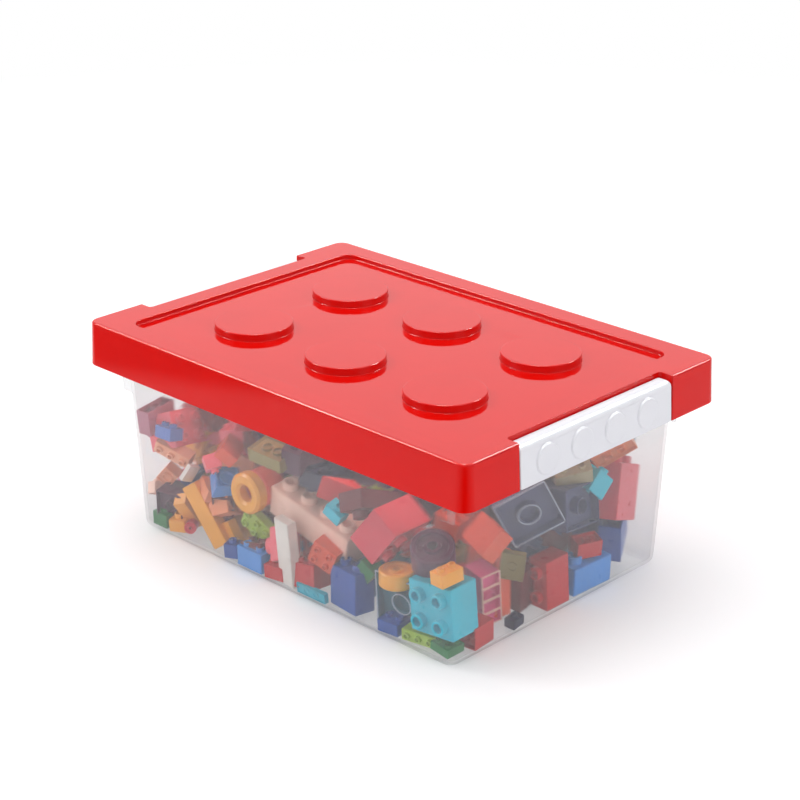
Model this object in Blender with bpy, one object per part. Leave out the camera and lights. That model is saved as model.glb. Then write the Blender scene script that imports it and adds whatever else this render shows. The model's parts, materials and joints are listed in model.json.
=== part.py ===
"""A storage box for toy building blocks: a clear tapered tub, a studded lid and two end latches.

The box stands on z = 0 with its long side along X and its middle over the origin. Each latch
swings on a rod moulded at one end of the tub and hooks over a catch inside a notch of the lid.
Run it with: blender --background --python part.py
"""

import math
from collections import namedtuple

import bmesh
import bpy
from mathutils import Matrix, Vector

# Tub
TUB_BASE_LENGTH = 0.2470
TUB_BASE_WIDTH = 0.1724
TUB_BASE_CORNER = 0.0068
TUB_HEIGHT = 0.1239
TUB_DRAFT = math.radians(3.05)
TUB_WALL = 0.0018
TUB_FLOOR = 0.0022
FLOOR_FILLET = 0.0030
RIM_REACH = 0.0036
RIM_DROP = 0.0120
RIM_EDGE = 0.0008

# Ribs that square off the corners of the tub under its rim
RIB_FOOT_HEIGHT = 0.0860
RIB_THICKNESS = 0.0016
RIB_INSET = 0.0001

# Lid
LID_WALL = 0.0022
LID_CORNER = 0.0066
LID_EDGE = 0.0012
SKIRT_HEIGHT = 0.0255
SKIRT_FLARE = 0.0012
SKIRT_CLEARANCE = 0.0024
SEAT_GAP = 0.0003
PANEL_DEPTH = 0.0029
PANEL_EDGE = 0.0005
PANEL_CLEARANCE = 0.0022

# Studs on the lid
STUD_DIAMETER = 0.0446
STUD_HEIGHT = 0.0043
STUD_EDGE = 0.0006
STUD_COLUMN_PITCH = 0.0736
STUD_ROW_PITCH = 0.0765
STUD_COLUMNS = 3
STUD_ROWS = 2

# Notch and catch at each end of the lid
NOTCH_DEPTH = 0.0087
NOTCH_WIDTH = 0.1235
NOTCH_CORNER = 0.0020
POCKET_CLEARANCE = 0.0004
CATCH_LIP = 0.0014
CATCH_GAP = 0.0003

# Latch
LATCH_WALL = 0.0022
LATCH_SIDE_GAP = 0.0007
LATCH_SINK = 0.0021
LATCH_CORNER = 0.0030
LATCH_FOOT_CORNER = 0.0012
HOOK_ROLL = 0.0040
HOOK_TIP = 0.0010
HOOK_HEIGHT = 0.0050
HOOK_GAP = 0.0008
BUMP_DIAMETER = 0.0170
BUMP_HEIGHT = 0.0009
BUMP_PITCH = 0.0270
BUMP_RISE = 0.0107
BUMP_COUNT = 4

# Hinge between each latch and the tub
PIVOT_INSET = 0.0055
PIVOT_RISE = 0.0051
ROD_RADIUS = 0.0018
ROD_GAP = 0.0003
CLIP_WALL = 0.0017
CLIP_MOUTH = 0.0030
CLIP_WIDTH = 0.0100
LUG_WIDTH = 0.0026
LUG_BOSS_WALL = 0.0009
LUG_ROOT_HEIGHT = 0.0040
LUG_PLACE_SHARES = (-0.42, -0.14, 0.14, 0.42)
CLIP_PLACE_SHARES = (-0.28, 0.0, 0.28)

# One overrun serves every cut and every sunk root
OVERRUN = 0.0010

# Points nearer than this are one point
MERGE_GAP = 0.000001

# The tightest that a corner gets, of its path's own corner
LEAST_CORNER_SHARE = 0.05

CORNER_STEPS = 8
FILLET_STEPS = 4
ROUND_STEPS = 48
ROD_STEPS = 24
SMOOTH_ANGLE = math.radians(35)

PART_NAME = "building_block_storage_box"

Path = namedtuple("Path", "half_x half_y corner")
Station = namedtuple("Station", "path offset z")


def draft_offset(z):
    """How far the outside of the tub has grown at the height z."""
    return z * math.tan(TUB_DRAFT)


# Heights and offsets that follow from the sizes above
RIM_OFFSET = draft_offset(TUB_HEIGHT) + RIM_REACH
MOUTH_OFFSET = draft_offset(TUB_HEIGHT) - TUB_WALL
PANEL_OFFSET = MOUTH_OFFSET - PANEL_CLEARANCE - LID_WALL
RIM_FOOT = TUB_HEIGHT - RIM_DROP
LID_TOP = TUB_HEIGHT + SEAT_GAP + LID_WALL
SKIRT_FOOT = LID_TOP - SKIRT_HEIGHT
PANEL_TOP = LID_TOP - PANEL_DEPTH
RIM_X = TUB_BASE_LENGTH / 2 + RIM_OFFSET
RIM_Y = TUB_BASE_WIDTH / 2 + RIM_OFFSET
POCKET_WALL_X = RIM_X + POCKET_CLEARANCE
NOTCH_X = POCKET_WALL_X + LID_WALL
LID_X = NOTCH_X + NOTCH_DEPTH
LID_Y = RIM_Y + SKIRT_CLEARANCE + LID_WALL
LATCH_TOP = LID_TOP - LATCH_SINK
LATCH_WIDTH = NOTCH_WIDTH - 2 * LATCH_SIDE_GAP
HOOK_X = NOTCH_X + HOOK_GAP
HOOK_FOOT = LATCH_TOP - HOOK_HEIGHT
CATCH_TOP = HOOK_FOOT - CATCH_GAP
CATCH_FOOT = CATCH_TOP - LID_WALL
CATCH_X = HOOK_X + LATCH_WALL + CATCH_LIP
PIVOT_X = LID_X - PIVOT_INSET
PIVOT_Z = SKIRT_FOOT + PIVOT_RISE
CLIP_BORE = ROD_RADIUS + ROD_GAP
CLIP_RADIUS = CLIP_BORE + CLIP_WALL

TUB_PATH = Path(TUB_BASE_LENGTH / 2, TUB_BASE_WIDTH / 2, TUB_BASE_CORNER)
LID_PATH = Path(LID_X, LID_Y, LID_CORNER)


def clear_scene():
    for old in list(bpy.data.objects):
        bpy.data.objects.remove(old, do_unlink=True)


def collection(name):
    made = bpy.data.collections.new(name)
    bpy.context.scene.collection.children.link(made)
    return made


def plastic(name, colour, roughness, alpha=1.0):
    """A moulded plastic, clear where alpha is under 1."""
    made = bpy.data.materials.new(name)
    made.use_nodes = True
    shader = made.node_tree.nodes["Principled BSDF"]
    shader.inputs["Base Color"].default_value = (*colour, 1.0)
    shader.inputs["Roughness"].default_value = roughness
    shader.inputs["Metallic"].default_value = 0.0
    shader.inputs["Alpha"].default_value = alpha
    made.diffuse_color = (*colour, alpha)
    return made


def place(bm, name, home, matrix=None):
    """Turns a bmesh into an object of the collection home."""
    bmesh.ops.recalc_face_normals(bm, faces=bm.faces)
    mesh = bpy.data.meshes.new(name)
    bm.to_mesh(mesh)
    bm.free()
    made = bpy.data.objects.new(name, mesh)
    made.matrix_world = matrix or Matrix()
    home.objects.link(made)
    return made


def as_cutter(made):
    made.hide_render = True
    made.display_type = "WIRE"
    return made


def combine(target, other, operation):
    """Joins the other solid to the target, or cuts it out."""
    step = target.modifiers.new(other.name, "BOOLEAN")
    step.operation = operation
    step.solver = "EXACT"
    step.object = as_cutter(other)


def smooth(mesh):
    mesh.shade_smooth()
    mesh.set_sharp_from_angle(angle=SMOOTH_ANGLE)


def finished_mesh(made, name):
    """The mesh of an object with its modifiers carried out."""
    depsgraph = bpy.context.evaluated_depsgraph_get()
    mesh = bpy.data.meshes.new_from_object(made.evaluated_get(depsgraph))
    mesh.name = name
    return mesh


def arc(centre_x, centre_z, radius, start, end, steps=FILLET_STEPS):
    """Points along an arc, from the angle start to the angle end in degrees."""
    angles = [math.radians(start + (end - start) * step / steps) for step in range(steps + 1)]
    return [(centre_x + radius * math.cos(a), centre_z + radius * math.sin(a)) for a in angles]


def stations(path, points):
    return [Station(path, offset, z) for offset, z in points]


def ring(bm, station):
    """One rounded rectangle of the path, grown by the offset, as vertices in order round it."""
    path, offset, z = station
    radius = max(path.corner + offset, path.corner * LEAST_CORNER_SHARE)
    centre_x = path.half_x + offset - radius
    centre_y = path.half_y + offset - radius
    vertices = []
    for turn, (side_x, side_y) in enumerate(((1, 1), (-1, 1), (-1, -1), (1, -1))):
        for step in range(CORNER_STEPS + 1):
            angle = math.radians(90) * (turn + step / CORNER_STEPS)
            x = side_x * centre_x + radius * math.cos(angle)
            y = side_y * centre_y + radius * math.sin(angle)
            vertices.append(bm.verts.new((x, y, z)))
    return vertices


def loft(name, home, profile):
    """A closed shell through the rings of the profile, capped at its first and last ring."""
    bm = bmesh.new()
    rings = [ring(bm, station) for station in profile]
    for low, high in zip(rings, rings[1:]):
        for i in range(len(low)):
            j = (i + 1) % len(low)
            bm.faces.new((low[i], low[j], high[j], high[i]))
    bm.faces.new(rings[0])
    bm.faces.new(rings[-1])
    return place(bm, name, home)


def block(name, home, low, high):
    """A box between its lowest and highest corners."""
    low, high = Vector(low), Vector(high)
    bm = bmesh.new()
    size = Matrix.Diagonal((*(high - low), 1))
    bmesh.ops.create_cube(bm, size=1, matrix=Matrix.Translation((low + high) / 2) @ size)
    return place(bm, name, home)


def add_disc(bm, radius, low, high, centre, edge, steps=ROUND_STEPS):
    """A round disc along Z, with its top rim rounded where edge is over 0."""
    middle = Matrix.Translation((*centre, (low + high) / 2))
    made = bmesh.ops.create_cone(
        bm, cap_ends=True, segments=steps, radius1=radius, radius2=radius, depth=high - low, matrix=middle
    )
    if edge:
        top = max(v.co.z for v in made["verts"])
        rim = {e for v in made["verts"] for e in v.link_edges if all(u.co.z == top for u in e.verts)}
        bmesh.ops.bevel(bm, geom=list(rim), offset=edge, segments=3, profile=0.5, affect="EDGES")


def prism(name, home, outline, thickness, matrix):
    """A flat outline given a thickness, as a closed mesh. The outline lies in the XY of matrix."""
    data = bpy.data.curves.new(name, "CURVE")
    data.dimensions = "2D"
    data.fill_mode = "BOTH"
    data.extrude = thickness / 2
    spline = data.splines.new("POLY")
    spline.points.add(len(outline) - 1)
    for point, (x, y) in zip(spline.points, outline):
        point.co = (x, y, 0, 1)
    spline.use_cyclic_u = True
    curve = bpy.data.objects.new(name, data)
    home.objects.link(curve)
    bpy.context.view_layer.update()
    mesh = finished_mesh(curve, name)
    bpy.data.objects.remove(curve, do_unlink=True)
    bm = bmesh.new()
    bm.from_mesh(mesh)
    bmesh.ops.remove_doubles(bm, verts=bm.verts, dist=MERGE_GAP)
    return place(bm, name, home, matrix)


def upright(x=0.0, y=0.0, z=0.0, half_turns=0):
    """A frame whose XY is the world's XZ, so that a prism runs along Y. half_turns swap the ends."""
    turned = Matrix.Rotation(math.radians(180) * half_turns, 4, "Z")
    return turned @ Matrix.Translation((x, y, z)) @ Matrix.Rotation(math.radians(90), 4, "X")


def tub_profile():
    """The tub's section, from the middle of its underside up the outside and down the inside."""
    base_offset = draft_offset(FLOOR_FILLET + TUB_FLOOR)
    base_round = FLOOR_FILLET + TUB_FLOOR
    floor_offset = draft_offset(TUB_FLOOR + FLOOR_FILLET) - TUB_WALL
    underside = arc(base_offset - base_round, base_round, base_round, -90, 0)
    rim_underside = TUB_HEIGHT - TUB_WALL
    outside = [
        (draft_offset(RIB_FOOT_HEIGHT), RIB_FOOT_HEIGHT),
        (draft_offset(rim_underside), rim_underside),
        (RIM_OFFSET - TUB_WALL, rim_underside),
        (RIM_OFFSET - TUB_WALL, RIM_FOOT),
        (RIM_OFFSET, RIM_FOOT),
    ]
    rim_round = arc(RIM_OFFSET - RIM_EDGE, TUB_HEIGHT - RIM_EDGE, RIM_EDGE, 0, 90)
    mouth_round = arc(MOUTH_OFFSET + RIM_EDGE, TUB_HEIGHT - RIM_EDGE, RIM_EDGE, 90, 180)
    floor = arc(floor_offset - FLOOR_FILLET, TUB_FLOOR + FLOOR_FILLET, FLOOR_FILLET, 0, -90)
    return stations(TUB_PATH, underside + outside + rim_round + mouth_round + floor)


def corner_rib(home, side_x, side_y):
    """A plate that carries the long wall on past the round corner, below the rim."""
    top = TUB_HEIGHT - TUB_WALL / 2
    root_x = TUB_PATH.half_x - TUB_PATH.corner + OVERRUN
    bm = bmesh.new()
    bmesh.ops.create_cube(bm, size=1)
    for vertex in bm.verts:
        z = top if vertex.co.z > 0 else RIB_FOOT_HEIGHT
        grown = draft_offset(z) - RIB_INSET
        x = TUB_PATH.half_x + grown if vertex.co.x > 0 else root_x
        y = TUB_PATH.half_y + grown
        if vertex.co.y < 0:
            y -= RIB_THICKNESS
        vertex.co = (side_x * x, side_y * y, z)
    return place(bm, f"corner_rib_{side_x}_{side_y}", home)


def lug_outline():
    """A lug seen along Y, about the pivot: a round boss with a gusset up to the rim's skirt."""
    boss = ROD_RADIUS + LUG_BOSS_WALL
    root_x = RIM_X - TUB_WALL / 2 - PIVOT_X
    root_z = RIM_FOOT - PIVOT_Z
    round_end = arc(0, 0, boss, -135, 60, steps=ROD_STEPS // 2)
    return round_end + [(root_x, root_z + LUG_ROOT_HEIGHT), (root_x, root_z)]


def hinge_supports(home, end):
    """The lugs and the rod that one latch swings on, at the end 0 (+X) or 1 (-X)."""
    solids = []
    for share in LUG_PLACE_SHARES:
        frame = upright(PIVOT_X, share * LATCH_WIDTH, PIVOT_Z, end)
        name = f"hinge_lug_{end}_{len(solids)}"
        solids.append(prism(name, home, lug_outline(), LUG_WIDTH, frame))
    rod_length = (LUG_PLACE_SHARES[-1] - LUG_PLACE_SHARES[0]) * LATCH_WIDTH + LUG_WIDTH / 2
    rod = arc(0, 0, ROD_RADIUS, 0, 360 - 360 / ROD_STEPS, steps=ROD_STEPS - 1)
    solids.append(prism(f"hinge_rod_{end}", home, rod, rod_length, upright(PIVOT_X, 0, PIVOT_Z, end)))
    return solids


def make_tub(home, tools, material):
    tub = loft("tub", home, tub_profile())
    for side_x in (-1, 1):
        for side_y in (-1, 1):
            combine(tub, corner_rib(tools, side_x, side_y), "UNION")
    for end in (0, 1):
        for solid in hinge_supports(tools, end):
            combine(tub, solid, "UNION")
    tub.data.materials.append(material)
    smooth(tub.data)
    return tub


def lid_profile():
    """The lid's section, from the middle of its panel out to the skirt and back underneath."""
    panel_top = [(PANEL_OFFSET, PANEL_TOP)]
    panel_edge = arc(PANEL_OFFSET + PANEL_EDGE, LID_TOP - PANEL_EDGE, PANEL_EDGE, 180, 90)
    skirt_edge = arc(-LID_EDGE, LID_TOP - LID_EDGE, LID_EDGE, 90, 0)
    skirt = [
        (SKIRT_FLARE, SKIRT_FOOT),
        (SKIRT_FLARE - LID_WALL, SKIRT_FOOT),
        (-LID_WALL, LID_TOP - LID_WALL),
    ]
    underside = [
        (PANEL_OFFSET + LID_WALL, LID_TOP - LID_WALL),
        (PANEL_OFFSET + LID_WALL, PANEL_TOP - LID_WALL),
    ]
    top = stations(TUB_PATH, panel_top + panel_edge)
    return top + stations(LID_PATH, skirt_edge + skirt) + stations(TUB_PATH, underside)


def stud_places():
    """The middle of each stud on the lid."""
    for row in range(STUD_ROWS):
        for column in range(STUD_COLUMNS):
            x = (column - (STUD_COLUMNS - 1) / 2) * STUD_COLUMN_PITCH
            y = (row - (STUD_ROWS - 1) / 2) * STUD_ROW_PITCH
            yield x, y


def stud_group(name, home, radius, low, high, edge):
    bm = bmesh.new()
    for centre in stud_places():
        add_disc(bm, radius, low, high, centre, edge)
    return place(bm, name, home)


def pocket_block(home, side):
    """The solid block at one end that the latch's pocket is cut from."""
    half_width = NOTCH_WIDTH / 2 + LID_WALL
    inner = POCKET_WALL_X
    outer = LID_X - LID_WALL / 2
    low = (min(side * inner, side * outer), -half_width, SKIRT_FOOT)
    high = (max(side * inner, side * outer), half_width, LID_TOP - LID_WALL / 2)
    return block(f"pocket_block_{side}", home, low, high)


def notch_cut(home, side, name, inner, low_z, high_z):
    """A cut as wide as the notch, from inner out past the skirt, with two rounded upright corners."""
    outer = LID_X + SKIRT_FLARE + OVERRUN
    low = (min(side * inner, side * outer), -NOTCH_WIDTH / 2, low_z)
    high = (max(side * inner, side * outer), NOTCH_WIDTH / 2, high_z)
    return block(f"{name}_{side}", home, low, high)


def round_upright_corners(made, inner_x, radius):
    """Rounds the upright edges of a cut that stand at inner_x."""
    bm = bmesh.new()
    bm.from_mesh(made.data)
    nearest = min(abs(abs(v.co.x) - abs(inner_x)) for v in bm.verts)
    edges = [
        e
        for e in bm.edges
        if e.verts[0].co.xy == e.verts[1].co.xy and abs(abs(e.verts[0].co.x) - abs(inner_x)) == nearest
    ]
    bmesh.ops.bevel(bm, geom=edges, offset=radius, segments=FILLET_STEPS, profile=0.5, affect="EDGES")
    bm.to_mesh(made.data)
    bm.free()
    return made


def make_lid(home, tools, material):
    lid = loft("lid", home, lid_profile())
    under = SKIRT_FOOT - OVERRUN
    above = LID_TOP + OVERRUN
    for side in (-1, 1):
        combine(lid, pocket_block(tools, side), "UNION")
    for side in (-1, 1):
        catch_room = notch_cut(tools, side, "catch_room", NOTCH_X, CATCH_TOP, above)
        combine(lid, round_upright_corners(catch_room, NOTCH_X, NOTCH_CORNER), "DIFFERENCE")
        latch_room = notch_cut(tools, side, "latch_room", CATCH_X, under, above)
        combine(lid, latch_room, "DIFFERENCE")
        hinge_room = notch_cut(tools, side, "hinge_room", POCKET_WALL_X - OVERRUN, under, CATCH_FOOT)
        combine(lid, hinge_room, "DIFFERENCE")
    stud_top = PANEL_TOP + STUD_HEIGHT
    radius = STUD_DIAMETER / 2
    root = PANEL_TOP - LID_WALL / 2
    combine(lid, stud_group("studs", tools, radius, root, stud_top, STUD_EDGE), "UNION")
    below = PANEL_TOP - LID_WALL - OVERRUN
    hollow = stud_group("stud_hollows", tools, radius - LID_WALL, below, stud_top - LID_WALL, STUD_EDGE)
    combine(lid, hollow, "DIFFERENCE")
    lid.data.materials.append(material)
    smooth(lid.data)
    return lid


def face_lean(rise):
    """How far the latch's face stands out past its top edge, this far above its foot."""
    return SKIRT_FLARE * (1 - rise / (LATCH_TOP - HOOK_ROLL - SKIRT_FOOT))


def latch_outline():
    """The latch seen along Y, about its pivot: a panel that rolls over into a hook at the top."""
    face = LID_X - PIVOT_X
    foot = SKIRT_FOOT - PIVOT_Z
    top = LATCH_TOP - PIVOT_Z
    hook = HOOK_X - PIVOT_X
    tip = HOOK_FOOT - PIVOT_Z
    outer = [(face + SKIRT_FLARE, foot)] + arc(face - HOOK_ROLL, top - HOOK_ROLL, HOOK_ROLL, 0, 90)
    nose = arc(hook + HOOK_TIP, top - HOOK_TIP, HOOK_TIP, 90, 180)
    lip = [(hook, tip), (hook + LATCH_WALL, tip), (hook + LATCH_WALL, top - LATCH_WALL)]
    inner_roll = arc(face - HOOK_ROLL, top - HOOK_ROLL, HOOK_ROLL - LATCH_WALL, 90, 0)
    return outer + nose + lip + inner_roll + [(face + SKIRT_FLARE - LATCH_WALL, foot)]


def latch_front_outline():
    """The latch seen along X, about its pivot: a plate with round corners, the top ones larger."""
    half = LATCH_WIDTH / 2
    foot = SKIRT_FOOT - PIVOT_Z
    top = LATCH_TOP - PIVOT_Z
    corners = (
        (-half + LATCH_FOOT_CORNER, foot + LATCH_FOOT_CORNER, LATCH_FOOT_CORNER, 180),
        (half - LATCH_FOOT_CORNER, foot + LATCH_FOOT_CORNER, LATCH_FOOT_CORNER, 270),
        (half - LATCH_CORNER, top - LATCH_CORNER, LATCH_CORNER, 0),
        (-half + LATCH_CORNER, top - LATCH_CORNER, LATCH_CORNER, 90),
    )
    points = []
    for centre_y, centre_z, radius, start in corners:
        points += arc(centre_y, centre_z, radius, start, start + 90)
    return points


def clip_outline():
    """A snap clip seen along Y: a split ring, open towards the tub, with a root in the panel."""
    half_mouth = math.degrees(math.asin(CLIP_MOUTH / 2 / CLIP_BORE))
    upper = arc(0, 0, CLIP_RADIUS, 180 - half_mouth, 45, steps=ROD_STEPS // 2)
    lower = arc(0, 0, CLIP_RADIUS, -45, half_mouth - 180, steps=ROD_STEPS // 2)
    inner = arc(0, 0, CLIP_BORE, half_mouth - 180, 180 - half_mouth, steps=ROD_STEPS)
    root_x = LID_X - PIVOT_X + face_lean(PIVOT_RISE) - LATCH_WALL / 2
    root = [(root_x, upper[-1][1]), (root_x, lower[0][1])]
    return upper + root + lower + inner


def front_frame():
    """A frame whose XY is the world's YZ, so that a prism runs along X."""
    return Matrix(((0, 0, 1, 0), (1, 0, 0, 0), (0, 1, 0, 0), (0, 0, 0, 1)))


def bump_group(tools):
    """The low round bumps on the face of the latch, about its pivot."""
    bm = bmesh.new()
    face = LID_X - PIVOT_X
    rise = SKIRT_FOOT - PIVOT_Z + BUMP_RISE
    high = face + face_lean(BUMP_RISE) + BUMP_HEIGHT
    for index in range(BUMP_COUNT):
        y = (index - (BUMP_COUNT - 1) / 2) * BUMP_PITCH
        add_disc(bm, BUMP_DIAMETER / 2, face - LATCH_WALL / 2, high, (y, rise), BUMP_HEIGHT)
    return place(bm, "latch_bumps", tools, front_frame())


def latch_mesh(tools):
    """One finished latch about its pivot, facing +X."""
    blank = prism("latch_blank", tools, latch_outline(), LATCH_WIDTH, upright())
    reach = 2 * (LID_X - NOTCH_X + SKIRT_FLARE)
    plate = prism("latch_plate", tools, latch_front_outline(), 2 * reach, front_frame())
    combine(blank, plate, "INTERSECT")
    for index, share in enumerate(CLIP_PLACE_SHARES):
        frame = upright(0, share * LATCH_WIDTH, 0)
        combine(blank, prism(f"latch_clip_{index}", tools, clip_outline(), CLIP_WIDTH, frame), "UNION")
    combine(blank, bump_group(tools), "UNION")
    bpy.context.view_layer.update()
    mesh = finished_mesh(blank, "latch")
    mesh.transform(blank.matrix_world)
    as_cutter(blank)
    return mesh


def make_latch(name, home, mesh, end, material):
    """One latch, with its origin on its pivot, at the end 0 (+X) or 1 (-X)."""
    own = mesh.copy()
    own.materials.clear()
    own.materials.append(material)
    smooth(own)
    latch = bpy.data.objects.new(name, own)
    turned = Matrix.Rotation(math.radians(180) * end, 4, "Z")
    latch.matrix_world = turned @ Matrix.Translation((PIVOT_X, 0, PIVOT_Z))
    home.objects.link(latch)
    return latch


def main():
    clear_scene()
    home = collection(PART_NAME)
    tools = collection("cutters")
    clear = plastic("clear_plastic", (0.86, 0.87, 0.90), 0.25, alpha=0.35)
    red = plastic("red_plastic", (0.62, 0.012, 0.006), 0.15)
    white = plastic("white_plastic", (0.80, 0.81, 0.83), 0.3)
    make_tub(home, tools, clear)
    make_lid(home, tools, red)
    mesh = latch_mesh(tools)
    make_latch("latch_right", home, mesh, 0, white)
    make_latch("latch_left", home, mesh, 1, white)


main()
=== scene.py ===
"""Looks of a storage box for toy blocks: a studded red lid, a frosted tub and white latches.

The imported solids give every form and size. This file lays the finishes over them, fills the tub
with loose toy blocks as it is used, and sets the studio round it.
"""

import json
import logging
import math
from dataclasses import dataclass, field
from enum import Enum
from itertools import cycle

import bmesh
import bpy
from bmesh.types import BMEdge, BMesh, BMVert
from bpy.types import ID, Material, NodeSocket, Object, ShaderNode, World
from mathutils import Euler, Matrix, Vector

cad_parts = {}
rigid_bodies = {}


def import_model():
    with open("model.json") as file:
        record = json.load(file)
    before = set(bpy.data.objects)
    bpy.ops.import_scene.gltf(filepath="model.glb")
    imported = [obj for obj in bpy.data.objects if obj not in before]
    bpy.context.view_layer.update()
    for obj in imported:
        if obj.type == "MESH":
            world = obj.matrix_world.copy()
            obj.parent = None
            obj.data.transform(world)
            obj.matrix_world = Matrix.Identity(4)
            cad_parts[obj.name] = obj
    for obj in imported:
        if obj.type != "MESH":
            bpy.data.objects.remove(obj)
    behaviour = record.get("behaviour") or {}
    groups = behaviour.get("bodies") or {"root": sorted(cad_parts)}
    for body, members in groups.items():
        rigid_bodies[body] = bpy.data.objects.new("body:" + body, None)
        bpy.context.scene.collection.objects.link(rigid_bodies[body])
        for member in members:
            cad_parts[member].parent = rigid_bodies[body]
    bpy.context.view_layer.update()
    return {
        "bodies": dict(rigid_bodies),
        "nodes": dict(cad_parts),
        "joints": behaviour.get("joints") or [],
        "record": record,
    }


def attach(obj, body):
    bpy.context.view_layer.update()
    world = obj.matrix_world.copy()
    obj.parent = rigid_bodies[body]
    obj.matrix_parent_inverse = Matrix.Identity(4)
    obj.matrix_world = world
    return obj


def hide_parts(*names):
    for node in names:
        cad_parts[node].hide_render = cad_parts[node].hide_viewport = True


LOG = logging.getLogger("storage_box")

Triple = tuple[float, float, float]
Pair = tuple[float, float]

MM = 0.001
WELD_GAP = 0.000001
FLAT_ANGLE = math.radians(0.5)
CREASE_ANGLE = math.radians(32.0)

SRGB_KNEE = 0.04045
SRGB_SLOPE = 12.92
SRGB_SHIFT = 0.055
SRGB_POWER = 2.4
NOISE_MIDDLE: Pair = (0.3, 0.7)
MIX_FIRST = 6
MIX_SECOND = 7
MIX_RESULT = 2


class Form(Enum):
    """Kinds of toy block."""

    BRICK = "brick"
    RING = "ring"
    DRUM = "drum"
    WEDGE = "wedge"
    # Not a block: a thin frame of painted highlight along the rim of an open block.
    RIM = "rim"


class Hue(Enum):
    """Colours of the toy blocks, in sRGB."""

    RED = (0.80, 0.06, 0.09)
    # Pink blocks, made lighter than ROSE. On the blocks high at the left this also paints in the
    # reddish light that the lid throws on them.
    PINK = (1.0, 0.44, 0.50)
    MAUVE = (0.74, 0.45, 0.53)
    ROSE = (0.86, 0.19, 0.28)
    MAROON = (0.42, 0.06, 0.11)
    MAGENTA = (0.90, 0.32, 0.55)
    ORANGE = (0.93, 0.32, 0.12)
    PEACH = (0.95, 0.56, 0.36)
    APRICOT = (1.0, 0.71, 0.56)
    BLUSH = (1.0, 0.84, 0.77)
    AMBER = (0.97, 0.66, 0.12)
    LIME = (0.66, 0.78, 0.20)
    OLIVE = (0.56, 0.50, 0.24)
    GREEN = (0.02, 0.47, 0.22)
    TEAL = (0.05, 0.41, 0.50)
    CYAN = (0.12, 0.75, 0.84)
    SKY = (0.28, 0.58, 0.88)
    BLUE = (0.05, 0.31, 0.66)
    NAVY = (0.07, 0.10, 0.27)
    SLATE = (0.30, 0.33, 0.49)
    LILAC = (0.40, 0.51, 0.80)
    PLUM = (0.34, 0.15, 0.28)
    SAND = (0.76, 0.70, 0.54)
    # Not a block colour: the painted highlight on the rims of open blocks.
    MIST = (0.74, 0.80, 0.88)
    WHITE = (0.92, 0.90, 0.87)


class Stock(Enum):
    """Common bricks behind the ones that stand in front: their grid of studs, and millimetres."""

    WIDE_4X2 = ((4, 2), (64, 32, 19))
    WIDE_3X2 = ((3, 2), (48, 32, 10))
    WIDE_2X2 = ((2, 2), (32, 32, 19))
    WIDE_2X1 = ((2, 1), (32, 16, 19))
    BROAD_2X1 = ((2, 1), (32, 19, 16))
    WIDE_1X1 = ((1, 1), (16, 16, 19))
    TALL_4X2 = ((4, 2), (32, 16, 19))
    TALL_3X2 = ((3, 2), (24, 16, 19))
    TALL_2X2 = ((2, 2), (16, 16, 19))
    FINE_4X2 = ((4, 2), (32, 16, 9.5))
    FINE_3X2 = ((3, 2), (24, 16, 9.5))
    FINE_2X2 = ((2, 2), (16, 16, 9.5))
    FINE_4X1 = ((4, 1), (32, 8, 9.5))
    FINE_3X3 = ((3, 3), (24, 24, 12))
    FINE_3X1 = ((3, 1), (24, 8, 10))


class End(Enum):
    """The ends of the box, each with a latch."""

    RIGHT = "right"
    LEFT = "left"


def linear(colour: Triple) -> tuple[float, float, float, float]:
    """Turns an sRGB colour into the linear one that a shader socket takes.

    Args:
        colour: Red, green and blue from 0 to 1 as a screen shows them.

    Returns:
        The same colour in linear light, with full alpha.
    """
    straight = [c / SRGB_SLOPE for c in colour]
    curved = [((c + SRGB_SHIFT) / (1.0 + SRGB_SHIFT)) ** SRGB_POWER for c in colour]
    return (*(s if c <= SRGB_KNEE else p for c, s, p in zip(colour, straight, curved)), 1.0)


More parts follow.
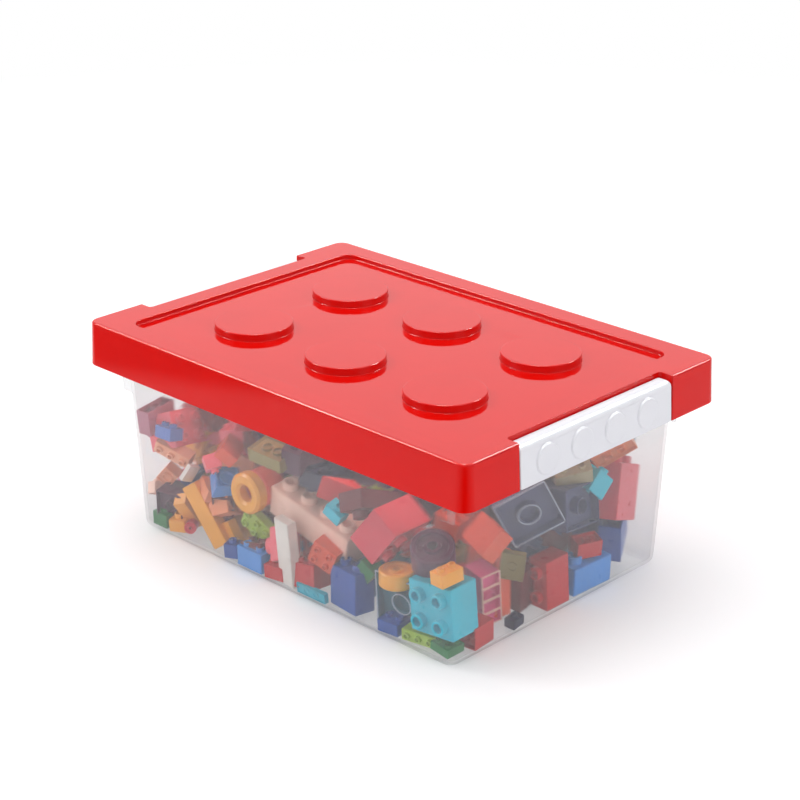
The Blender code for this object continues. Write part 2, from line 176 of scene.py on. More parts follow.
class Recipe:
    """Lays out the shader nodes of one material or world."""

    def __init__(self, owner: Material | World) -> None:
        """Starts with no nodes.

        Args:
            owner: The new material or world.
        """
        self.owner = owner
        owner.use_nodes = True
        self.tree = owner.node_tree
        self.tree.nodes.clear()
        self.place = self.node("TexCoord").outputs["Object"]

    def node(
        self, kind: str, sockets: dict[str | int, object] | None = None, **settings: object
    ) -> ShaderNode:
        """Adds one node.

        Args:
            kind: Blender's name for the kind of node, without its "ShaderNode".
            sockets: Values by an input's name or number, or another node's output to join there.
            **settings: The node's own settings.

        Returns:
            The new node.
        """
        made = self.tree.nodes.new(f"ShaderNode{kind}")
        for name, value in settings.items():
            setattr(made, name, value)
        for name, value in (sockets or {}).items():
            if isinstance(value, NodeSocket):
                self.tree.links.new(value, made.inputs[name])
            else:
                made.inputs[name].default_value = value
        return made

    def math(self, operation: str, first: object, second: object) -> NodeSocket:
        """Joins two numbers by the operation of that name."""
        return self.node("Math", {0: first, 1: second}, operation=operation).outputs[0]

    def mapped(self, value: NodeSocket, start: Pair, end: Pair) -> NodeSocket:
        """Maps one range of numbers to another, and stops at its ends.

        Args:
            value: The number.
            start: Two values that it can have.
            end: What they become.

        Returns:
            The mapped number.
        """
        sockets = {"Value": value, "From Min": start[0], "From Max": start[1]}
        sockets |= {"To Min": end[0], "To Max": end[1]}
        return self.node("MapRange", sockets).outputs["Result"]

    def noise(self, size: float, detail: float = 3.0) -> NodeSocket:
        """Gives soft random patches.

        Args:
            size: How far apart the patches lie, in metres.
            detail: How many finer layers lie in them.

        Returns:
            The noise's value, from 0 to 1.
        """
        sockets = {"Vector": self.place, "Scale": 1.0 / size, "Detail": detail}
        return self.node("TexNoise", sockets).outputs["Fac"]

    def spread(self, value: NodeSocket, low: float, high: float) -> NodeSocket:
        """Maps the middle of a noise to a range of numbers."""
        return self.mapped(value, NOISE_MIDDLE, (low, high))

    def blend(self, factor: NodeSocket, first: Triple, second: Triple) -> NodeSocket:
        """Mixes two colours by a number.

        Args:
            factor: 0 for the first colour, 1 for the second.
            first: An sRGB colour.
            second: An sRGB colour.

        Returns:
            The mixed colour.
        """
        sockets = {"Factor": factor, MIX_FIRST: linear(first), MIX_SECOND: linear(second)}
        return self.node("Mix", sockets, data_type="RGBA").outputs[MIX_RESULT]

    def bump(self, size: float, height: float, below: NodeSocket | None = None) -> NodeSocket:
        """Raises fine relief on the surface.

        Args:
            size: How far apart the bumps lie, in metres.
            height: How high they stand, in metres.
            below: The normal that the relief is laid on, if there is one.

        Returns:
            The changed normal.
        """
        sockets = {"Height": self.noise(size), "Distance": height, "Strength": 1.0}
        if below is not None:
            sockets["Normal"] = below
        return self.node("Bump", sockets).outputs["Normal"]

    def finish(self, shader: NodeSocket) -> Material | World:
        """Joins the shader to the output.

        Args:
            shader: The output of the last shader node.

        Returns:
            The finished material or world.
        """
        kind = "World" if isinstance(self.owner, World) else "Material"
        self.node(f"Output{kind}", {"Surface": shader})
        return self.owner


@dataclass(frozen=True)
class Texture:
    """The patches, marks and relief of a moulded face, with its lengths in metres.

    Attributes:
        patch_size: How far apart its darker patches lie.
        mark_size: How far apart its handling marks lie.
        mark_detail: How many finer layers the marks have.
        wave: How high its slow waves are.
        wave_size: How far apart they lie.
        grain: How high its fine grain is.
        grain_size: How far apart the grains lie.
    """

    patch_size: float = 0.030
    mark_size: float = 0.006
    mark_detail: float = 6.0
    wave: float = 0.00002
    wave_size: float = 0.035
    grain: float = 0.0000015
    grain_size: float = 0.0007

    def tint(self, recipe: Recipe, colour: Triple, shade: Triple) -> NodeSocket:
        """Gives the colour with its darker patches."""
        return recipe.blend(recipe.spread(recipe.noise(self.patch_size), 0.0, 1.0), colour, shade)

    def roughness(self, recipe: Recipe, smooth: float, rough: float) -> NodeSocket:
        """Gives a roughness that rises where the face has been handled."""
        return recipe.spread(recipe.noise(self.mark_size, self.mark_detail), smooth, rough)

    def normal(self, recipe: Recipe) -> NodeSocket:
        """Gives the relief of the waves with the grain on them."""
        return recipe.bump(self.grain_size, self.grain, recipe.bump(self.wave_size, self.wave))


@dataclass(frozen=True)
class MouldedPlastic:
    """An opaque moulded plastic with slight waves, fine grain and faint handling marks.

    Attributes:
        name: The material's name.
        colour: Its sRGB colour.
        shade: The sRGB colour of its slightly darker patches.
        polish: Its roughness where it is smoothest.
        scuff: Its roughness where it has been handled.
        bend: Its index of refraction, which sets how strongly it mirrors.
        texture: Its patches, marks and relief.
    """

    name: str
    colour: Triple
    shade: Triple
    polish: float
    scuff: float
    bend: float = 1.45
    texture: Texture = Texture()

    def material(self) -> Material:
        """Builds the material.

        Returns:
            The material.
        """
        recipe = Recipe(bpy.data.materials.new(self.name))
        sockets = {
            "Base Color": self.texture.tint(recipe, self.colour, self.shade),
            "Roughness": self.texture.roughness(recipe, self.polish, self.scuff),
            "Normal": self.texture.normal(recipe),
            "IOR": self.bend,
        }
        return recipe.finish(recipe.node("BsdfPrincipled", sockets).outputs["BSDF"])


@dataclass(frozen=True)
class FrostedPlastic:
    """A thin translucent moulded plastic that veils what lies behind it and hardly bends it.

    Attributes:
        name: The material's name.
        colour: Its sRGB colour.
        cloud: The share of light that it scatters instead of passing on.
        clear: The share of light that passes straight through.
        gloss: How polished its face is, as a roughness.
        shine: The index of refraction that its face mirrors with.
        bend: The index of refraction that light passes through it with.
        shade_share: How bright its slightly darker patches are, as a share of its colour.
        mark_range: How rough it is between the handling marks and in them, as shares of its gloss.
        texture: Its patches, marks and relief.
    """

    name: str
    colour: Triple
    cloud: float
    clear: float
    gloss: float
    shine: float
    bend: float = 1.016
    shade_share: float = 0.985
    mark_range: Pair = (0.8, 1.3)
    texture: Texture = Texture(0.040, 0.012, 4.0, 0.00002, 0.030, 0.0000020, 0.0009)

    def material(self) -> Material:
        """Builds the material.

        Returns:
            The material.
        """
        recipe = Recipe(bpy.data.materials.new(self.name))
        shade = tuple(self.shade_share * c for c in self.colour)
        smooth, rough = (share * self.gloss for share in self.mark_range)
        sockets = {
            "Base Color": self.texture.tint(recipe, self.colour, shade),
            "Roughness": 0.0,
            "IOR": self.bend,
            "Transmission Weight": 1.0 - self.cloud,
            "Coat Weight": 1.0,
            "Coat Roughness": self.texture.roughness(recipe, smooth, rough),
            "Coat IOR": self.shine,
            "Coat Normal": self.texture.normal(recipe),
            "Alpha": 1.0 - self.clear,
        }
        return recipe.finish(recipe.node("BsdfPrincipled", sockets).outputs["BSDF"])


LID_RED = MouldedPlastic(
    "lid_red_gloss", (0.85, 0.033, 0.014), (0.83, 0.028, 0.011), polish=0.05, scuff=0.08, bend=1.33
)
LATCH_WHITE = MouldedPlastic(
    "latch_white_satin", (0.90, 0.90, 0.92), (0.885, 0.885, 0.91), polish=0.28, scuff=0.36
)
TUB_FROST = FrostedPlastic(
    "tub_frosted", (0.96, 0.96, 0.965), cloud=0.125, clear=0.5, gloss=0.05, shine=1.6
)
BLOCK_POLISH = 0.26
BLOCK_SCUFF = 0.38
BLOCK_SHADE_SHARE = 0.93


def block_plastic(hue: Hue) -> MouldedPlastic:
    """Gives the finish of a toy block.

    Args:
        hue: The block's colour.

    Returns:
        The finish.
    """
    shade = tuple(BLOCK_SHADE_SHARE * c for c in hue.value)
    return MouldedPlastic(f"block_{hue.name.lower()}", hue.value, shade, BLOCK_POLISH, BLOCK_SCUFF)


def add_object(name: str, data: ID) -> Object:
    """Puts a new object in the scene.

    Args:
        name: Its name.
        data: Its mesh, lamp or camera.

    Returns:
        The new object.
    """
    made = bpy.data.objects.new(name, data)
    bpy.context.scene.collection.objects.link(made)
    return made


def aim_object(name: str, data: ID, place: Triple, aim: Triple) -> Object:
    """Puts a new lamp or camera in the scene.

    Args:
        name: Its name.
        data: The lamp or camera itself.
        place: Where it stands, in metres.
        aim: What it points at.

    Returns:
        The new object.
    """
    made = add_object(name, data)
    made.location = place
    made.rotation_euler = (Vector(aim) - Vector(place)).to_track_quat("-Z", "Y").to_euler()
    return made


def round_edges(bm: BMesh, edges: list[BMEdge], width: float, steps: int, clamp: bool) -> None:
    """Rounds edges of a mesh in the making.

    Args:
        bm: The mesh.
        edges: The edges.
        width: How wide they are rounded, in the mesh's own unit.
        steps: How many faces a rounded edge has.
        clamp: Whether the width shrinks where there is no room for it.
    """
    settings = {"offset": width, "segments": steps, "affect": "EDGES", "clamp_overlap": clamp}
    bmesh.ops.bevel(bm, geom=edges, **settings)


def add_piece(name: str, bm: BMesh, material: Material) -> Object:
    """Turns a mesh in the making into a shaded object in the scene.

    Args:
        name: The piece's name.
        bm: The mesh, which is freed.
        material: Its finish.

    Returns:
        The new object.
    """
    mesh = bpy.data.meshes.new(name)
    bm.normal_update()
    bm.to_mesh(mesh)
    bm.free()
    mesh.materials.append(material)
    mesh.shade_smooth()
    mesh.set_sharp_from_angle(angle=CREASE_ANGLE)
    piece = add_object(name, mesh)
    even = piece.modifiers.new("even_normals", "WEIGHTED_NORMAL")
    even.keep_sharp = True
    return piece


@dataclass
class Moulding:
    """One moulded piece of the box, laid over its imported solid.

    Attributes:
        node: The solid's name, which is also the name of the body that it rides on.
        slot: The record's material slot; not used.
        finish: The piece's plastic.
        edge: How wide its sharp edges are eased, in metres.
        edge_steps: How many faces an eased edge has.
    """

    node: str
    slot: str
    finish: MouldedPlastic | FrostedPlastic
    edge: float = 0.00025
    edge_steps: int = 2

    def eased(self, solid: Object) -> BMesh:
        """Copies a solid with whole flat faces and eased edges.

        Args:
            solid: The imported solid.

        Returns:
            The mesh in the making.
        """
        bm = bmesh.new()
        bm.from_mesh(solid.data)
        bmesh.ops.remove_doubles(bm, verts=bm.verts, dist=WELD_GAP)
        bmesh.ops.dissolve_limit(bm, angle_limit=FLAT_ANGLE, verts=bm.verts, edges=bm.edges)
        bm.normal_update()
        inside = (edge for edge in bm.edges if edge.is_manifold)
        sharp = [edge for edge in inside if abs(edge.calc_face_angle(0.0)) > CREASE_ANGLE]
        round_edges(bm, sharp, self.edge, self.edge_steps, clamp=False)
        return bm

    def dress(self, frame: dict) -> Object:
        """Builds the piece in place of its solid.

        Args:
            frame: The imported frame.

        Returns:
            The piece.
        """
        shape = self.eased(frame["nodes"][self.node])
        piece = add_piece(f"{self.node}_moulding", shape, self.finish.material())
        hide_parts(self.node)
        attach(piece, self.node)
        LOG.info("%s: %d faces", piece.name, len(piece.data.polygons))
        return piece


@dataclass(frozen=True)
class Block:
    """One loose toy block.

    Attributes:
        hue: Its colour.
        grid: Its columns and rows of studs, or zeros for a bare top.
        size: Its length, width and height without studs, in millimetres.
        place: Its middle, in millimetres.
        turn: Its turns about x, y and z, in degrees.
        form: Its kind.
    """

    hue: Hue
    grid: tuple[int, int]
    size: Triple
    place: Triple
    turn: Triple
    form: Form = Form.BRICK

    def pose(self) -> Matrix:
        """Gives the matrix from the block's own millimetres to its place in the box."""
        turn = Euler([math.radians(a) for a in self.turn]).to_matrix().to_4x4()
        return Matrix.Translation(Vector(self.place) * MM) @ turn @ Matrix.Scale(MM, 4)


@dataclass(frozen=True)
class BlockMaker:
    """Builds toy blocks in millimetres.

    Attributes:
        wall_share: A block's wall as a share of its smaller pitch.
        stud_share: A stud's radius as a share of its smaller pitch.
        stud_rise_share: A stud's height as a share of its smaller pitch.
        stud_edge_share: How far a stud's edges are cut off as a share of its radius.
        bore_share: The bore of a stud as a share of its radius.
        tube_bore_share: The bore of a tube under a block as a share of the tube's radius.
        tube_gap_share: The gap round a tube between two walls as a share of a stud's radius.
        hollow_share: The depth of the hollow under a block as a share of its height.
        stud_sides: How many sides a stud has.
        round_sides: How many sides a drum or ring has.
        edge: How far a block's corners are rounded, in millimetres.
        edge_limit: The most that they are rounded as a share of the wall.
        edge_steps: How many faces a rounded corner has.
        drum_edge: How far a drum's edges are cut off, as all of a drum in shares of its radius.
        drum_bore: A drum's bore.
        drum_groove: The radii of the groove in its face, inside top and foot, outside foot and top.
        drum_sink: The groove's depth.
        ring_edge: How far a ring's edges are cut off, as a share of its radius.
        ring_bore: A ring's bore, as a share of its radius.
        lip_share: The height of a wedge's low side as a share of half its height.
        highlight_rim_wall: How wide the painted highlight along an open block's rim is, in
            millimetres.
        highlight_rim_limit: The most that the highlight's sides take up as a share of its length.
        rung_width: How wide a highlight rung between the sides of a rim is, in widths of the rim.
    """

    wall_share: float = 0.07
    stud_share: float = 0.295
    stud_rise_share: float = 0.27
    stud_edge_share: float = 0.09
    bore_share: float = 0.62
    tube_bore_share: float = 0.86
    tube_gap_share: float = 0.35
    hollow_share: float = 0.22
    stud_sides: int = 20
    round_sides: int = 48
    edge: float = 0.45
    edge_limit: float = 0.4
    edge_steps: int = 2
    drum_edge: float = 0.07
    drum_bore: float = 0.24
    drum_groove: tuple[float, float, float, float] = (0.38, 0.42, 0.70, 0.74)
    drum_sink: float = 0.12
    ring_edge: float = 0.12
    ring_bore: float = 0.42
    lip_share: float = 0.15
    highlight_rim_wall: float = 0.50
    highlight_rim_limit: float = 0.3
    rung_width: float = 2.4

    def turned(self, profile: list[Pair], sides: int, middle: Pair = (0.0, 0.0)) -> BMesh:
        """Spins a closed outline about an upright axis.

        Args:
            profile: Radius and height of each corner of the outline, in order.
            sides: How many sides the result has.
            middle: Where the axis stands.

        Returns:
            The mesh in the making.
        """
        bm = bmesh.new()
        rings = [
            [
                bm.verts.new((middle[0] + r * math.cos(a), middle[1] + r * math.sin(a), z))
                for a in (math.tau * k / sides for k in range(sides))
            ]
            for r, z in profile
        ]
        self._bands(bm, rings + rings[:1])
        return bm

    def shell(self, size: Triple, wall: float) -> BMesh:
        """Builds a box with rounded outer edges and a hollow underside.

        Args:
            size: Its length, width and height.
            wall: How thick it is.

        Returns:
            The mesh in the making.
        """
        bm = bmesh.new()
        length, width, height = size
        inner = (length - 2.0 * wall, width - 2.0 * wall)
        outer_foot = self._corners(bm, (length, width), -0.5 * height)
        outer_top = self._corners(bm, (length, width), 0.5 * height)
        inner_foot = self._corners(bm, inner, -0.5 * height)
        inner_top = self._corners(bm, inner, self.roof(height))
        bm.faces.new(outer_top)
        bm.faces.new(list(reversed(inner_top)))
        self._bands(bm, [inner_top, inner_foot, outer_foot, outer_top])
        outside = set(outer_foot + outer_top)
        edges = [e for e in bm.edges if set(e.verts) <= outside]
        round_edges(bm, edges, min(self.edge, self.edge_limit * wall), self.edge_steps, clamp=True)
        return bm

    def roof(self, height: float) -> float:
        """Gives how high above the middle the hollow under a block ends."""
        return (self.hollow_share - 0.5) * height

    @staticmethod
    def _corners(bm: BMesh, size: Pair, z: float) -> list[BMVert]:
        """Adds the four corners of a level rectangle, anticlockwise from above."""
        x, y = 0.5 * size[0], 0.5 * size[1]
        return [bm.verts.new((a, b, z)) for a, b in ((-x, -y), (x, -y), (x, y), (-x, y))]

    @staticmethod
    def _bands(bm: BMesh, loops: list[list[BMVert]]) -> None:
        """Joins each loop of corners to the next one by a band of faces.

        Args:
            bm: The mesh in the making.
            loops: The loops, each with as many corners as the others.
        """
        for lower, upper in zip(loops, loops[1:]):
            for k in range(len(lower)):
                n = (k + 1) % len(lower)
                bm.faces.new((lower[k], lower[n], upper[n], upper[k]))

    def brick(self, block: Block) -> list[BMesh]:
        """Builds a brick: a hollow body, its studs and the tubes under it.

        Args:
            block: The block, with a grid of studs or a bare top.

        Returns:
            The brick's parts.
        """
        columns, rows = block.grid
        length, width, height = block.size
        pitch = min(length / max(columns, 1), width / max(rows, 1))
        wall = self.wall_share * pitch
        parts = [self.shell(block.size, wall)]
        stud, rise = self.stud_share * pitch, self.stud_rise_share * pitch
        bore, edge = self.bore_share * stud, self.stud_edge_share * stud
        top, roof = 0.5 * height, self.roof(height)
        stud_outline = [
            (stud, top - edge),
            (stud, top + rise - edge),
            (stud - edge, top + rise),
            (bore + edge, top + rise),
            (bore, top + rise - edge),
            (bore, top - edge),
        ]
        for x in self._row(length, columns):
            for y in self._row(width, rows):
                parts.append(self.turned(stud_outline, self.stud_sides, (x, y)))
        tube = 0.5 * pitch - wall - self.tube_gap_share * stud
        if min(block.grid) > 1:
            tube = math.sqrt(0.5) * pitch - stud
        tube_bore = self.tube_bore_share * tube
        tube_outline = [
            (tube, edge - top),
            (tube, roof + edge),
            (tube_bore, roof + edge),
            (tube_bore, edge - top),
        ]
        for x in self._row(length, columns, between=columns > 1):
            for y in self._row(width, rows, between=rows > 1):
                parts.append(self.turned(tube_outline, self.stud_sides, (x, y)))
        return parts

    @staticmethod
    def _row(length: float, count: int, between: bool = False) -> list[float]:
        """Gives where studs stand along one side of a grid, or what stands between them.

        Args:
            length: The side's length.
            count: How many studs stand along it.
            between: Whether the gaps are wanted instead of the studs.

        Returns:
            The places along the side, from its middle.
        """
        return [length * ((k + 0.5 + 0.5 * between) / count - 0.5) for k in range(count - between)]

    def drum(self, block: Block) -> list[BMesh]:
        """Builds a round block with a sunk face and a bored middle.

        Args:
            block: The block.

        Returns:
            Its one part.
        """
        radius, half = 0.5 * block.size[0], 0.5 * block.size[2]
        edge, bore, sink = (s * radius for s in (self.drum_edge, self.drum_bore, self.drum_sink))
        inner_top, inner_foot, outer_foot, outer_top = (s * radius for s in self.drum_groove)
        outline = [
            (radius, -half + edge),
            (radius, half - edge),
            (radius - edge, half),
            (outer_top, half),
            (outer_foot, half - sink),
            (inner_foot, half - sink),
            (inner_top, half),
            (bore, half),
            (bore, -half),
            (radius - edge, -half),
        ]
        return [self.turned(outline, self.round_sides)]

    def ring(self, block: Block) -> list[BMesh]:
        """Builds a ring with rounded edges.

        Args:
            block: The block.

        Returns:
            Its one part.
        """
        radius, half = 0.5 * block.size[0], 0.5 * block.size[2]
        edge, bore = self.ring_edge * radius, self.ring_bore * radius
        outline = [
            (radius, -half + edge),
            (radius, half - edge),
            (radius - edge, half),
            (bore + edge, half),
            (bore, half - edge),
            (bore, -half + edge),
            (bore + edge, -half),
            (radius - edge, -half),
        ]
        return [self.turned(outline, self.round_sides)]

    def wedge(self, block: Block) -> list[BMesh]:
        """Builds a block with one sloping side.

        Args:
            block: The block.

        Returns:
            Its one part.
        """
        bm = bmesh.new()
        x, y, z = (0.5 * s for s in block.size)
        lip = self.lip_share * z
        outline = [(-x, -z), (x, -z), (x, lip - z), (lip - x, z), (-x, z)]
        near = [bm.verts.new((a, -y, b)) for a, b in outline]
        far = [bm.verts.new((a, y, b)) for a, b in outline]
        bm.faces.new(near)
        bm.faces.new(list(reversed(far)))
        self._bands(bm, [far, near])
        round_edges(bm, bm.edges[:], self.edge, self.edge_steps, clamp=True)
        return [bm]

    def frame(self, size: Triple, middle: float = 0.0) -> BMesh:
        """Builds a thin flat frame.

        Args:
            size: Its length, width and height.
            middle: Where it stands along its length.

        Returns:
            The mesh in the making.
        """
        bm = bmesh.new()
        length, width, height = size
        wall, half = min(self.highlight_rim_wall, self.highlight_rim_limit * length), 0.5 * height
        outer, inner = (length, width), (length - 2.0 * wall, width - 2.0 * wall)
        profile = ((outer, -half), (outer, half), (inner, half), (inner, -half))
        loops = [self._corners(bm, sides, z) for sides, z in profile]
        self._bands(bm, loops + loops[:1])
        bmesh.ops.translate(bm, verts=bm.verts[:], vec=(middle, 0.0, 0.0))
        return bm

    def rim(self, block: Block) -> list[BMesh]:
        """Builds the painted highlight along the rim of an open block's walls, and along the rim of
        its tube or its ribs.

        Args:
            block: The open block, but with the rim's own height.

        Returns:
            The rim's parts.
        """
        columns, rows = block.grid
        length, width, height = block.size
        parts = [self.frame(block.size)]
        if columns != rows:
            rung = (self.rung_width * self.highlight_rim_wall, width, height)
            places = self._row(length, 2 * columns, between=True)
            return parts + [self.frame(rung, place) for place in places]
        pitch = length / columns
        tube, half = math.sqrt(0.5) * pitch - self.stud_share * pitch, 0.5 * height
        bore = tube - self.highlight_rim_wall
        outline = [(tube, -half), (tube, half), (bore, half), (bore, -half)]
        return parts + [self.turned(outline, self.stud_sides)]

    def build(self, block: Block) -> list[BMesh]:
        """Builds any block in its own millimetres.

        Args:
            block: The block.

        Returns:
            The block's parts.
        """
        makers = {
            Form.BRICK: self.brick,
            Form.DRUM: self.drum,
            Form.RING: self.ring,
            Form.WEDGE: self.wedge,
            Form.RIM: self.rim,
        }
        return makers[block.form](block)


SHOWN_BLOCKS = [
    Block(Hue.BLUSH, (4, 2), (62, 31, 18.5), (5.5, -58, 39.5), (6, 12, -1)),
    Block(Hue.LIME, (3, 2), (22, 16, 5), (-36.5, -71.5, 24), (-103, -31, -173)),
    Block(Hue.AMBER, (0, 0), (39.5, 10.5, 8), (-71.5, -79, 22), (84, 54, 8)),
    Block(Hue.AMBER, (0, 0), (23, 7.5, 8), (-94.5, -74.5, 15), (149, 57, 92)),
    Block(Hue.PEACH, (0, 0), (16, 7.5, 8), (-71, -78, 37), (71, 11, -26)),
    Block(Hue.MAROON, (0, 0), (33, 10, 8), (-75.5, -70.5, 18.5), (-12, 51, 18)),
    Block(Hue.CYAN, (2, 2), (29, 29, 20), (105, -72, 27), (-90, 5, -179)),
    Block(Hue.SLATE, (2, 2), (32, 30.5, 19), (104, -8.5, 62), (-66, 60, 79)),
    Block(Hue.TEAL, (2, 2), (31, 33.5, 19), (78, -67, 20), (20, 82, 116)),
    Block(Hue.MAGENTA, (2, 1), (32, 12, 15), (104.5, -41, 21.5), (-56, 81, 112)),
    Block(Hue.RED, (2, 1), (29, 12.5, 17.5), (114.5, 1.5, 17.5), (150, 87, 57)),
    Block(Hue.SKY, (2, 1), (31, 16, 16), (113, 31, 11), (1, 1, 89)),
    Block(Hue.BLUE, (2, 1), (22.5, 13, 23.5), (41.5, -75.5, 15), (-2, -2, -8)),
    Block(Hue.ROSE, (1, 2), (15, 34, 31.5), (108.5, 64, 47), (-23, -4, 20)),
    Block(Hue.ROSE, (2, 2), (25, 32, 19), (59, -64, 51.5), (-172, 54, -166)),
    Block(Hue.ORANGE, (0, 0), (11.5, 16, 8), (-61, -70.5, 62), (13, 41, 39)),
    Block(Hue.GREEN, (0, 0), (10.5, 16, 8), (51.5, -73.5, 28), (107, 38, 11)),
    Block(Hue.AMBER, (0, 0), (15, 6, 8), (-57, -73.5, 13), (10, 59, 7)),
    Block(Hue.MAUVE, (1, 2), (9.5, 21.5, 15), (-118.5, -75.5, 67.5), (-175, -1, 6)),
    Block(Hue.LILAC, (2, 1), (15, 9, 7), (-100.5, -81.5, 64.5), (-11, -5, -4)),
    Block(Hue.APRICOT, (1, 1), (9.5, 12, 8), (-112, -73, 32), (-74, 40, 31)),
    Block(Hue.WHITE, (0, 0), (10.5, 3, 8), (-85.5, -80, 43.5), (-40, 58, -133)),
    Block(Hue.BLUE, (1, 1), (10, 5, 16), (-102, -63, 31.5), (111, 55, -139)),
    Block(Hue.PINK, (1, 1), (9, 8, 8.5), (-65, -80.5, 56.5), (140, -9, 64)),
    Block(Hue.GREEN, (1, 2), (11.5, 16, 8.5), (-110.5, -75.5, 7), (1, 1, 2)),
    Block(Hue.AMBER, (1, 1), (10.5, 10.5, 7.5), (-98, -77.5, 7), (3, -4, 21)),
    Block(Hue.PLUM, (2, 2), (17.5, 17, 16), (-105, -74.5, 18), (-84, 4, 16)),
    Block(Hue.BLUE, (1, 1), (8.5, 8, 8.5), (-50.5, -79, 7), (1, -3, 20)),
    Block(Hue.SKY, (2, 1), (20, 8, 12), (-32, -80, 8.5), (1, 0, 0)),
    Block(Hue.NAVY, (2, 2), (22.5, 19.5, 10), (7.5, -62, 64), (175, -5, -5)),
    Block(Hue.CYAN, (1, 1), (11, 8, 8), (35.5, -81, 59.5), (14, 32, 10)),
    Block(Hue.WHITE, (0, 0), (39.5, 14, 6), (-3, -81, 22.5), (150, 86, 49)),
    Block(Hue.RED, (2, 2), (13.5, 16.5, 8), (-13.5, -75.5, 7), (2, -3, 5)),
    Block(Hue.RED, (2, 2), (17, 16, 14), (9, -74.5, 11.5), (-7, -8, 5)),
    Block(Hue.ORANGE, (2, 2), (15.5, 13.5, 16), (23, -74, 29), (93, 23, 13)),
    Block(Hue.CYAN, (3, 1), (22, 6, 3), (17.5, -82.5, 5.5), (-84, 0, 0)),
    Block(Hue.LIME, (3, 1), (21.5, 6.5, 16.5), (94, -72.5, 6), (91, -1, 9)),
    Block(Hue.GREEN, (2, 2), (13, 12, 5), (111, -75.5, 6), (3, 6, -3)),
    Block(Hue.BLUE, (2, 1), (14, 12, 7), (75.5, -78, 6.5), (2, -2, 3)),
    Block(Hue.AMBER, (1, 2), (9.5, 14.5, 7.5), (113, -78.5, 48.5), (4, -3, -7)),
    Block(Hue.ORANGE, (2, 2), (24.5, 9, 17), (105, -39, 53.5), (138, 2, -23)),
    Block(Hue.OLIVE, (2, 2), (16.5, 13, 4), (116, -31, 38), (43, 81, 168)),
    Block(Hue.RED, (1, 2), (10.5, 12.5, 16), (115.5, -58, 9), (-89, 0, 5)),
    Block(Hue.NAVY, (1, 1), (6.5, 9, 5.5), (118, -31, 6), (6, 4, 5)),
    Block(Hue.RED, (2, 1), (15, 10, 10), (114.5, 32, 26.5), (-172, -1, 67)),
    Block(Hue.BLUE, (1, 2), (13, 24, 28.5), (105.5, 67, 21.5), (-157, 2, 30)),
    Block(Hue.PEACH, (3, 1), (24.5, 11, 10), (114, 52, 78.5), (-58, -33, 43)),
    Block(Hue.CYAN, (2, 1), (19.5, 12, 13), (113.5, 34.5, 64), (-45, -9, -11)),
    Block(Hue.SAND, (2, 2), (20.5, 16, 16.5), (110.5, 21.5, 74.5), (35, -12, 51)),
    Block(Hue.SLATE, (2, 2), (28.5, 23.5, 24), (110, 18.5, 55.5), (-98, 5, 91)),
    Block(Hue.PINK, (2, 2), (25, 21, 20), (-110, -68.5, 60), (67, 10, 96)),
    Block(Hue.APRICOT, (3, 1), (22.5, 8.5, 8), (-101, -77.5, 51.5), (107, 23, 24)),
    Block(Hue.MAROON, (1, 1), (12, 16, 14), (-63, -73.5, 32), (-68, 3, 37)),
    Block(Hue.PEACH, (1, 1), (14, 13, 12), (-60.5, -75, 30.5), (-116, 26, 98)),
    Block(Hue.MAROON, (2, 1), (16, 12, 8), (-33.5, -76, 12), (-15, -12, 5)),
    Block(Hue.SKY, (1, 1), (14, 14, 12), (-59.5, -76, 44.5), (-145, 10, 60)),
    Block(Hue.BLUSH, (1, 1), (8, 6, 7), (-117.5, -79, 23.5), (-25, 25, 89)),
    Block(Hue.PINK, (1, 1), (16, 19, 12), (-15, -72, 19.5), (-104, 31, 112)),
    Block(Hue.MAROON, (2, 1), (32.5, 16, 10.5), (49, -69, 65.5), (152, 22, 90)),
    Block(Hue.OLIVE, (3, 2), (23.5, 16, 8), (-15.5, -78.5, 76.5), (-169, 4, 5)),
    Block(Hue.PLUM, (1, 1), (11, 12, 17), (-2.5, -74.5, 77.5), (19, 9, 22)),
    Block(Hue.ORANGE, (1, 1), (13, 12, 36.5), (101.5, -28.5, 22), (-6, 6, 93)),
    Block(Hue.AMBER, (0, 0), (24, 24, 8), (-36, -79, 47), (90, 0, 0), Form.RING),
    Block(Hue.ORANGE, (0, 0), (22, 22, 14), (-35.5, -68.5, 47.5), (90, 0, 0), Form.DRUM),
    Block(Hue.PLUM, (0, 0), (23.5, 23.5, 16), (94, -68.5, 50), (26, 0, 36), Form.DRUM),
    Block(Hue.ROSE, (0, 0), (7, 7, 14), (-90, -76, 7.5), (79, 0, 40), Form.DRUM),
    Block(Hue.AMBER, (0, 0), (19, 19, 9), (75, -76, 33.5), (0, 0, 0), Form.DRUM),
    Block(Hue.RED, (0, 0), (20, 12, 20), (33, -73.5, 66), (70, 0, -18), Form.WEDGE),
    Block(Hue.MAROON, (2, 1), (16, 11, 24), (105.5, -11.5, 15.5), (4, -6, 96)),
    # Painted highlights: thin frames, lighter than the blocks, laid on the open rims of the slate,
    # teal and magenta blocks above, where light makes those thin edges look bright.
    Block(Hue.MIST, (2, 2), (32, 30.5, 0.6), (112, -13.5, 60), (-66, 60, 79), Form.RIM),
    Block(Hue.MIST, (2, 2), (31, 33.5, 0.6), (79, -76.5, 18.5), (20, 82, 116), Form.RIM),
    Block(Hue.BLUSH, (2, 1), (32, 12, 0.6), (112, -42.5, 21), (-56, 81, 112), Form.RIM),
]
